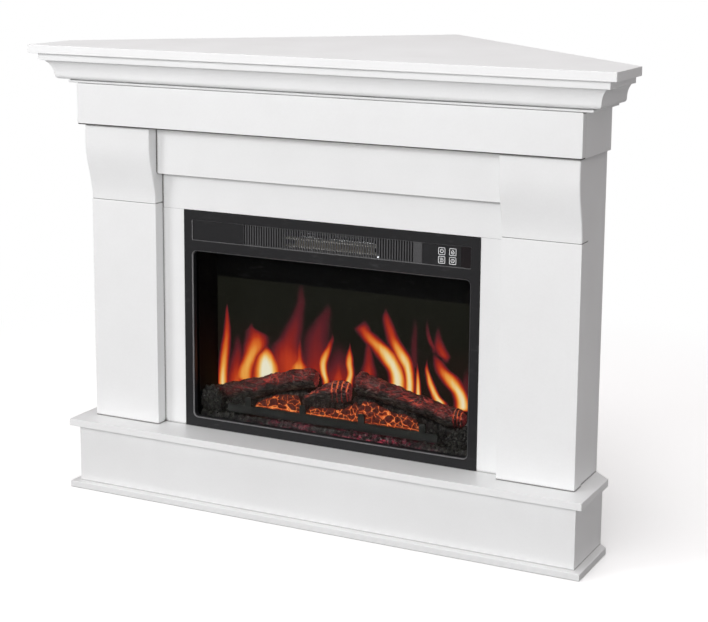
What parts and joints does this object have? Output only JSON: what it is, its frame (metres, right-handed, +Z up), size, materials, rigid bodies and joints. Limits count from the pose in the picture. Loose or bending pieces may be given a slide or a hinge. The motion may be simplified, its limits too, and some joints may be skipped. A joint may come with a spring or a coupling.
{
  "type": "corner electric fireplace",
  "caption": "Corner electric fireplace: white panelled mantel with crown, pilasters and plinth around a black log-effect insert with heater, vent and push buttons.",
  "frame": {"origin": "on the floor, at the middle of the overall box", "axes": "+Z up; -Y out of the front, where the insert looks into the room; +X to the right of a person facing the front. The two room walls are the vertical planes |x| + y = 0.339 m, which meet at the corner behind."},
  "size_m": [1.1, 0.678, 0.833],
  "materials": {
    "white_paint": "satin white lacquer on fibreboard",
    "pine": "sawn softwood",
    "zinc": "zinc-plated, satin",
    "black_enamel": "satin black",
    "dark_gloss": "dark infra-red window",
    "black_plastic": "matt moulded",
    "lens": "clear lit lens",
    "circuit": "circuit board",
    "glass": "clear",
    "matt_black": "matt black",
    "screen": "smoked, flames show on it",
    "log": "moulded and painted like charred wood",
    "ember": "moulded and lit from below",
    "coal": "moulded coal and rock",
    "grate_iron": "painted dark grey-green",
    "reflector": "bright",
    "motor_steel": "plain",
    "heater_fins": "plain, warm tinted"
  },
  "bodies": {
    "mantel": {"top_shelf": "white_paint", "crown_front": "white_paint", "crown_return_left": "white_paint", "crown_return_right": "white_paint", "frieze_front": "white_paint", "frieze_beam": "white_paint", "frieze_side_left": "white_paint", "frieze_side_right": "white_paint", "header_panel": "white_paint", "surround_top_rail": "white_paint", "surround_stile_left": "white_paint", "surround_stile_right": "white_paint", "pilaster_left": "white_paint", "pilaster_right": "white_paint", "corbel_left": "white_paint", "corbel_right": "white_paint", "side_panel_left": "white_paint", "side_panel_right": "white_paint", "base_cap": "white_paint", "plinth_front": "white_paint", "plinth_side_left": "white_paint", "plinth_side_right": "white_paint", "floor_board": "white_paint", "shelf_rail_left": "white_paint", "shelf_rail_right": "white_paint", "rear_post": "pine", "wood_screws": "zinc", "trim_frame": "black_enamel", "louvre_panel": "black_enamel", "blank_panel": "black_enamel", "control_panel": "black_enamel", "receiver_window": "dark_gloss", "status_led": "lens", "control_board": "circuit", "front_glass": "glass", "chassis_wrap": "black_enamel", "chassis_top": "black_enamel", "rear_cover": "black_enamel", "firebox_liner": "matt_black", "flame_screen": "screen", "log_left": "log", "log_right": "log", "log_centre": "log", "embers": "ember", "ember_bed": "coal", "grate": "grate_iron", "led_board": "circuit", "rotor_motor": "motor_steel", "rotor_bush": "black_plastic", "blower_housing": "zinc", "blower_motor": "motor_steel", "heating_element": "heater_fins", "cable_gland": "black_plastic", "insert_brackets": "zinc"},
    "button_power": {"button_power": "black_plastic"},
    "button_flame": {"button_flame": "black_plastic"},
    "button_heater": {"button_heater": "black_plastic"},
    "button_timer": {"button_timer": "black_plastic"},
    "flame_rotor": {"flame_rotor": "reflector"},
    "blower_wheel": {"blower_wheel": "reflector"}
  },
  "joints": [
    {"name": "button_power_push", "type": "slide", "parent": "mantel", "child": "button_power", "axis": [0, 1, 0], "range_m": [0, 0.001], "stiffness_N_per_m": 300, "springref_m": -0.001},
    {"name": "button_flame_push", "type": "slide", "parent": "mantel", "child": "button_flame", "axis": [0, 1, 0], "range_m": [0, 0.001], "stiffness_N_per_m": 300, "springref_m": -0.001},
    {"name": "button_heater_push", "type": "slide", "parent": "mantel", "child": "button_heater", "axis": [0, 1, 0], "range_m": [0, 0.001], "stiffness_N_per_m": 300, "springref_m": -0.001},
    {"name": "button_timer_push", "type": "slide", "parent": "mantel", "child": "button_timer", "axis": [0, 1, 0], "range_m": [0, 0.001], "stiffness_N_per_m": 300, "springref_m": -0.001},
    {"name": "rotor_spin", "type": "hinge", "parent": "mantel", "child": "flame_rotor", "pos_m": [0, -0.117, 0.172], "axis": [1, 0, 0], "continuous": true},
    {"name": "blower_spin", "type": "hinge", "parent": "mantel", "child": "blower_wheel", "pos_m": [0, -0.139, 0.5015], "axis": [1, 0, 0], "continuous": true}
  ]
}
